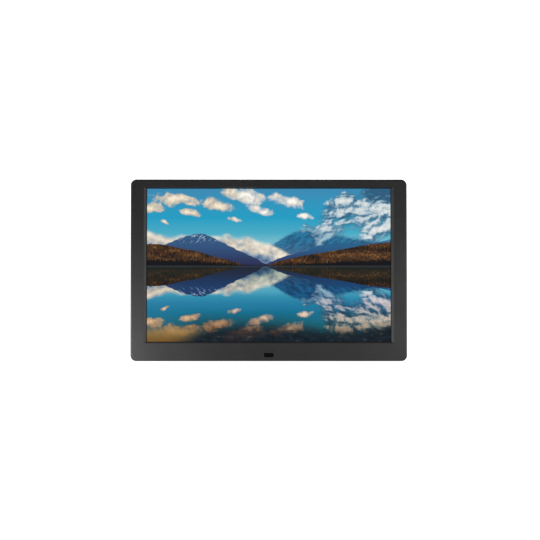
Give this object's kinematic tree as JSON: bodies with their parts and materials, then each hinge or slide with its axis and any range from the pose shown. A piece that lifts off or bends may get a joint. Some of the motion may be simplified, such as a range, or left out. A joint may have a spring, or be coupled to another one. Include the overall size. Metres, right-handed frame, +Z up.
{
  "type": "digital photo frame",
  "caption": "Landscape digital photo frame in a dark plastic case, leaning back on a hinged leg, with a lit screen, control keys and side sockets.",
  "frame": {"origin": "centre of the footprint on the surface that it stands on", "axes": "+X to the right seen from the front, +Z up, the screen faces -Y and leans back 18 degrees"},
  "size_m": [0.2454, 0.0778, 0.1563],
  "materials": {
    "charcoal_case": "fine-textured charcoal ABS",
    "screen": "anti-glare film over a lit panel",
    "panel_glass": "thin liquid-crystal cell",
    "dark_window": "infrared-clear tinted window",
    "sheet_steel": "zinc-plated sheet",
    "port_steel": "nickel-plated shell",
    "hinge_steel": "satin steel",
    "screw_steel": "blackened steel",
    "white_plastic": "white moulded plastic and film",
    "clear_plastic": "clear acrylic",
    "board_green": "solder-masked fibreglass",
    "chip_black": "black moulding compound",
    "can_aluminium": "drawn can",
    "cable": "insulated wire and film cable",
    "speaker_black": "basket and paper cone",
    "magnet_steel": "ferrite magnet in a steel cup",
    "foam": "closed-cell foam strip",
    "rubber_black": "soft black rubber",
    "key_plastic": "dark grey key",
    "plunger_plastic": "moulded switch plunger"
  },
  "bodies": {
    "frame": {"audio_jack": "chip_black", "bezel_gasket": "foam", "board_capacitors": "can_aluminium", "board_chips": "chip_black", "board_connectors": "white_plastic", "case_screws": "screw_steel", "dc_jack": "chip_black", "dc_jack_pin": "can_aluminium", "front_bezel": "charcoal_case", "hinge_bracket": "hinge_steel", "hinge_pin": "hinge_steel", "hinge_washers": "hinge_steel", "inner_screws": "screw_steel", "ir_board": "board_green", "ir_cable": "cable", "ir_receiver": "chip_black", "ir_window": "dark_window", "key_board": "board_green", "key_cable": "cable", "key_switch_bodies": "chip_black", "lcd_back_plate": "sheet_steel", "lcd_brackets": "sheet_steel", "lcd_front_frame": "sheet_steel", "lcd_glass": "panel_glass", "lcd_mould_frame": "white_plastic", "lcd_polariser": "screen", "led_bar": "board_green", "light_guide": "clear_plastic", "main_board": "board_green", "optical_films": "white_plastic", "panel_cable": "cable", "panel_driver_board": "board_green", "rear_cover": "charcoal_case", "reflector_sheet": "white_plastic", "rubber_feet": "rubber_black", "sd_card_slot": "port_steel", "speaker_cones": "speaker_black", "speaker_frames": "speaker_black", "speaker_gaskets": "foam", "speaker_magnets": "magnet_steel", "speaker_wire_left": "cable", "speaker_wire_right": "cable", "usb_port_shell": "port_steel", "usb_port_tongue": "white_plastic"},
    "stand": {"stand_leg": "charcoal_case", "stand_foot_pad": "rubber_black"},
    "ok_button": {"key_ok": "key_plastic", "plunger_ok": "plunger_plastic"},
    "up_button": {"key_up": "key_plastic", "plunger_up": "plunger_plastic"},
    "down_button": {"key_down": "key_plastic", "plunger_down": "plunger_plastic"},
    "left_button": {"key_left": "key_plastic", "plunger_left": "plunger_plastic"},
    "right_button": {"key_right": "key_plastic", "plunger_right": "plunger_plastic"},
    "menu_button": {"key_menu": "key_plastic", "plunger_menu": "plunger_plastic"},
    "power_button": {"key_power": "key_plastic", "plunger_power": "plunger_plastic"}
  },
  "joints": [
    {"name": "stand_hinge", "type": "hinge", "parent": "frame", "child": "stand", "pos_m": [0, 0.01238, 0.10187], "axis": [-1, 0, 0], "range_deg": [0, 31]},
    {"name": "ok_press", "type": "slide", "parent": "frame", "child": "ok_button", "axis": [0, -0.9511, 0.309], "range_m": [0, 0.0003], "stiffness_N_per_m": 500},
    {"name": "up_press", "type": "slide", "parent": "frame", "child": "up_button", "axis": [0, -0.9511, 0.309], "range_m": [0, 0.0003], "stiffness_N_per_m": 500},
    {"name": "down_press", "type": "slide", "parent": "frame", "child": "down_button", "axis": [0, -0.9511, 0.309], "range_m": [0, 0.0003], "stiffness_N_per_m": 500},
    {"name": "left_press", "type": "slide", "parent": "frame", "child": "left_button", "axis": [0, -0.9511, 0.309], "range_m": [0, 0.0003], "stiffness_N_per_m": 500},
    {"name": "right_press", "type": "slide", "parent": "frame", "child": "right_button", "axis": [0, -0.9511, 0.309], "range_m": [0, 0.0003], "stiffness_N_per_m": 500},
    {"name": "menu_press", "type": "slide", "parent": "frame", "child": "menu_button", "axis": [0, -0.9511, 0.309], "range_m": [0, 0.0003], "stiffness_N_per_m": 500},
    {"name": "power_press", "type": "slide", "parent": "frame", "child": "power_button", "axis": [0, -0.9511, 0.309], "range_m": [0, 0.0003], "stiffness_N_per_m": 500}
  ]
}
